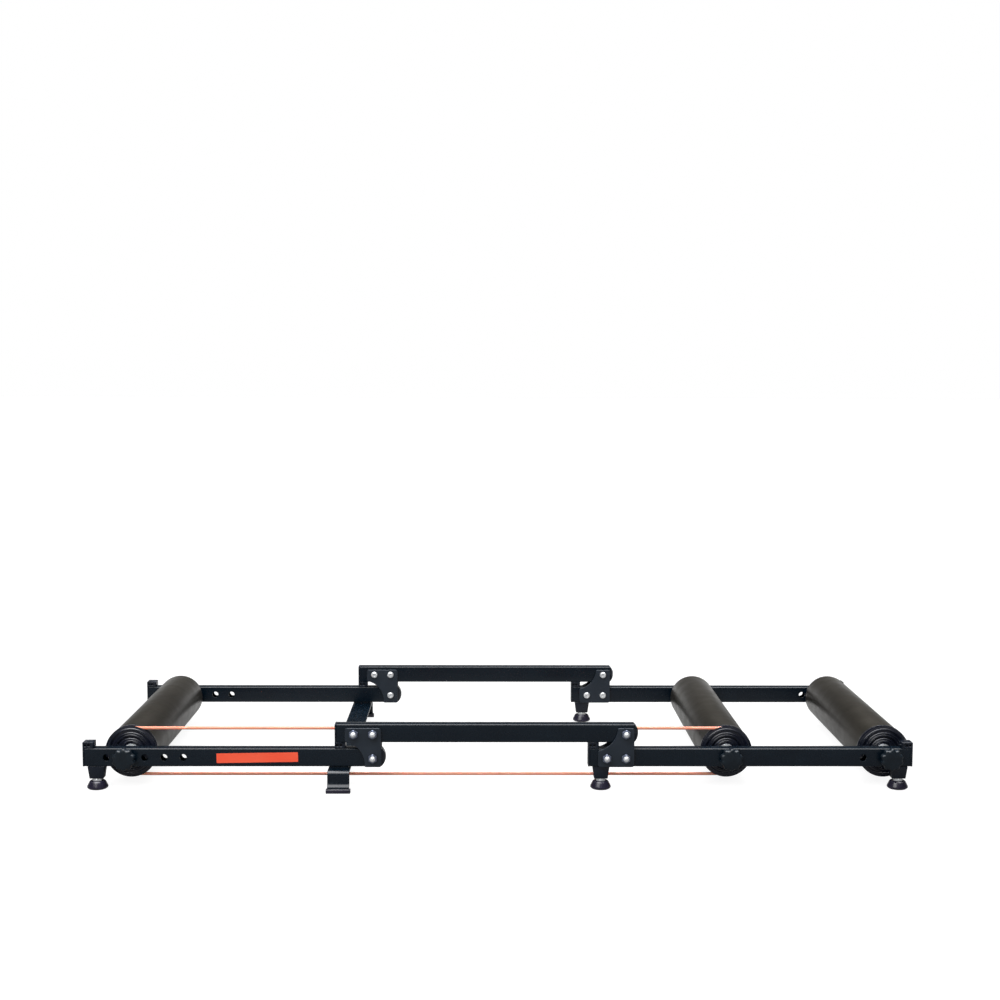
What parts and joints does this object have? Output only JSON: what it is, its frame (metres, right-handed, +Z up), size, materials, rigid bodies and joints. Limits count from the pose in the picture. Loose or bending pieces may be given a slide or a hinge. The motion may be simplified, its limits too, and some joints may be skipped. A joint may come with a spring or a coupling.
{
  "type": "bike rollers",
  "caption": "Folding bicycle training rollers: tube frame hinged in the middle, spinning drums on axles, drive belt on the left side, stand and levelling feet.",
  "frame": {"origin": "on the floor under the middle of the object's bounding box", "axes": "+X from the front drum to the rear drums, +Y to the rider's right, +Z up"},
  "size_m": [1.308, 0.5274, 0.104],
  "materials": {
    "frame_paint": "fine satin powder coat, near black with a blue cast",
    "plate_paint": "satin powder coat, slightly greyer than the rails",
    "cap_plastic": "moulded, fine grain",
    "drum_alloy": "dark anodised, turned and polished",
    "drum_cap_plastic": "moulded, satin ridges",
    "knob_plastic": "moulded, fine grain",
    "zinc": "bright zinc plating",
    "bearing_steel": "ground steel",
    "foot_rubber": "moulded black rubber",
    "belt_rubber": "smooth orange polyurethane cord"
  },
  "bodies": {
    "rear_frame": {"rear_rail_left": "frame_paint", "rear_rail_right": "frame_paint", "rear_hinge_cap_left": "cap_plastic", "rear_hinge_cap_right": "cap_plastic", "rear_end_cap_left": "cap_plastic", "rear_end_cap_right": "cap_plastic", "rear_hinge_outer_plate_left": "plate_paint", "rear_hinge_outer_plate_right": "plate_paint", "rear_hinge_inner_plate_left": "plate_paint", "rear_hinge_inner_plate_right": "plate_paint", "rear_pivot_bolt_left": "zinc", "rear_pivot_bolt_right": "zinc", "middle_axle": "zinc", "rear_axle": "zinc"},
    "middle_frame": {"middle_rail_left": "frame_paint", "middle_rail_right": "frame_paint", "middle_stub_cap_left": "cap_plastic", "middle_stub_cap_right": "cap_plastic", "front_hinge_outer_plate_left": "plate_paint", "front_hinge_outer_plate_right": "plate_paint", "front_hinge_inner_plate_left": "plate_paint", "front_hinge_inner_plate_right": "plate_paint", "front_pivot_bolt_left": "zinc", "front_pivot_bolt_right": "zinc", "drive_belt": "belt_rubber"},
    "front_frame": {"front_rail_left": "frame_paint", "front_rail_right": "frame_paint", "front_end_cap_left": "cap_plastic", "front_end_cap_right": "cap_plastic", "stand_crossbar": "frame_paint", "stand_shoe_left": "foot_rubber", "stand_shoe_right": "foot_rubber", "front_axle": "zinc"},
    "front_drum": {"front_drum_tube": "drum_alloy", "front_drum_pulley_cap": "drum_cap_plastic", "front_drum_plain_cap": "drum_cap_plastic", "front_bearing_left": "bearing_steel", "front_bearing_right": "bearing_steel"},
    "middle_drum": {"middle_drum_tube": "drum_alloy", "middle_drum_pulley_cap": "drum_cap_plastic", "middle_drum_plain_cap": "drum_cap_plastic", "middle_bearing_left": "bearing_steel", "middle_bearing_right": "bearing_steel"},
    "rear_drum": {"rear_drum_tube": "drum_alloy", "rear_drum_pulley_cap": "drum_cap_plastic", "rear_drum_plain_cap": "drum_cap_plastic", "rear_bearing_left": "bearing_steel", "rear_bearing_right": "bearing_steel"},
    "front_knob_left": {"front_knob_left": "knob_plastic"},
    "front_knob_right": {"front_knob_right": "knob_plastic"},
    "middle_knob_left": {"middle_knob_left": "knob_plastic"},
    "middle_knob_right": {"middle_knob_right": "knob_plastic"},
    "rear_knob_left": {"rear_knob_left": "knob_plastic"},
    "rear_knob_right": {"rear_knob_right": "knob_plastic"},
    "front_foot_left": {"front_foot_left": "foot_rubber"},
    "front_foot_right": {"front_foot_right": "foot_rubber"},
    "hinge_foot_left": {"hinge_foot_left": "foot_rubber"},
    "hinge_foot_right": {"hinge_foot_right": "foot_rubber"},
    "rear_foot_left": {"rear_foot_left": "foot_rubber"},
    "rear_foot_right": {"rear_foot_right": "foot_rubber"}
  },
  "joints": [
    {"name": "rear_fold", "type": "hinge", "parent": "rear_frame", "child": "middle_frame", "pos_m": [0.1967, 0, 0.08975], "axis": [0, 1, 0], "range_deg": [0, 180], "deforming": ["drive_belt"]},
    {"name": "front_fold", "type": "hinge", "parent": "middle_frame", "child": "front_frame", "pos_m": [-0.2001, 0, 0.05125], "axis": [0, -1, 0], "range_deg": [0, 180], "deforming": ["drive_belt"]},
    {"name": "middle_drum_spin", "type": "hinge", "parent": "rear_frame", "child": "middle_drum", "pos_m": [0.3613, 0, 0.05125], "axis": [0, 1, 0], "continuous": true},
    {"name": "rear_drum_spin", "type": "hinge", "parent": "rear_frame", "child": "rear_drum", "pos_m": [0.613, 0, 0.05125], "axis": [0, 1, 0], "continuous": true},
    {"name": "front_drum_spin", "type": "hinge", "parent": "front_frame", "child": "front_drum", "pos_m": [-0.587, 0, 0.05125], "axis": [0, 1, 0], "continuous": true},
    {"name": "front_knob_left_turn", "type": "hinge", "parent": "front_frame", "child": "front_knob_left", "pos_m": [-0.587, -0.2497, 0.05125], "axis": [0, -1, 0], "continuous": true},
    {"name": "front_knob_right_turn", "type": "hinge", "parent": "front_frame", "child": "front_knob_right", "pos_m": [-0.587, 0.2497, 0.05125], "axis": [0, 1, 0], "continuous": true},
    {"name": "middle_knob_left_turn", "type": "hinge", "parent": "rear_frame", "child": "middle_knob_left", "pos_m": [0.3613, -0.2497, 0.05125], "axis": [0, -1, 0], "continuous": true},
    {"name": "middle_knob_right_turn", "type": "hinge", "parent": "rear_frame", "child": "middle_knob_right", "pos_m": [0.3613, 0.2497, 0.05125], "axis": [0, 1, 0], "continuous": true},
    {"name": "rear_knob_left_turn", "type": "hinge", "parent": "rear_frame", "child": "rear_knob_left", "pos_m": [0.613, -0.2497, 0.05125], "axis": [0, -1, 0], "continuous": true},
    {"name": "rear_knob_right_turn", "type": "hinge", "parent": "rear_frame", "child": "rear_knob_right", "pos_m": [0.613, 0.2497, 0.05125], "axis": [0, 1, 0], "continuous": true},
    {"name": "front_foot_left_height", "type": "slide", "parent": "front_frame", "child": "front_foot_left", "axis": [0, 0, -1], "range_m": [0, 0.001]},
    {"name": "front_foot_right_height", "type": "slide", "parent": "front_frame", "child": "front_foot_right", "axis": [0, 0, -1], "range_m": [0, 0.001]},
    {"name": "hinge_foot_left_height", "type": "slide", "parent": "rear_frame", "child": "hinge_foot_left", "axis": [0, 0, -1], "range_m": [0, 0.012]},
    {"name": "hinge_foot_right_height", "type": "slide", "parent": "rear_frame", "child": "hinge_foot_right", "axis": [0, 0, -1], "range_m": [0, 0.012]},
    {"name": "rear_foot_left_height", "type": "slide", "parent": "rear_frame", "child": "rear_foot_left", "axis": [0, 0, -1], "range_m": [0, 0.012]},
    {"name": "rear_foot_right_height", "type": "slide", "parent": "rear_frame", "child": "rear_foot_right", "axis": [0, 0, -1], "range_m": [0, 0.012]}
  ],
  "couplings": [
    {"joint": "front_fold", "follows": "rear_fold", "ratio": 1},
    {"joint": "front_drum_spin", "follows": "middle_drum_spin", "ratio": 1}
  ]
}
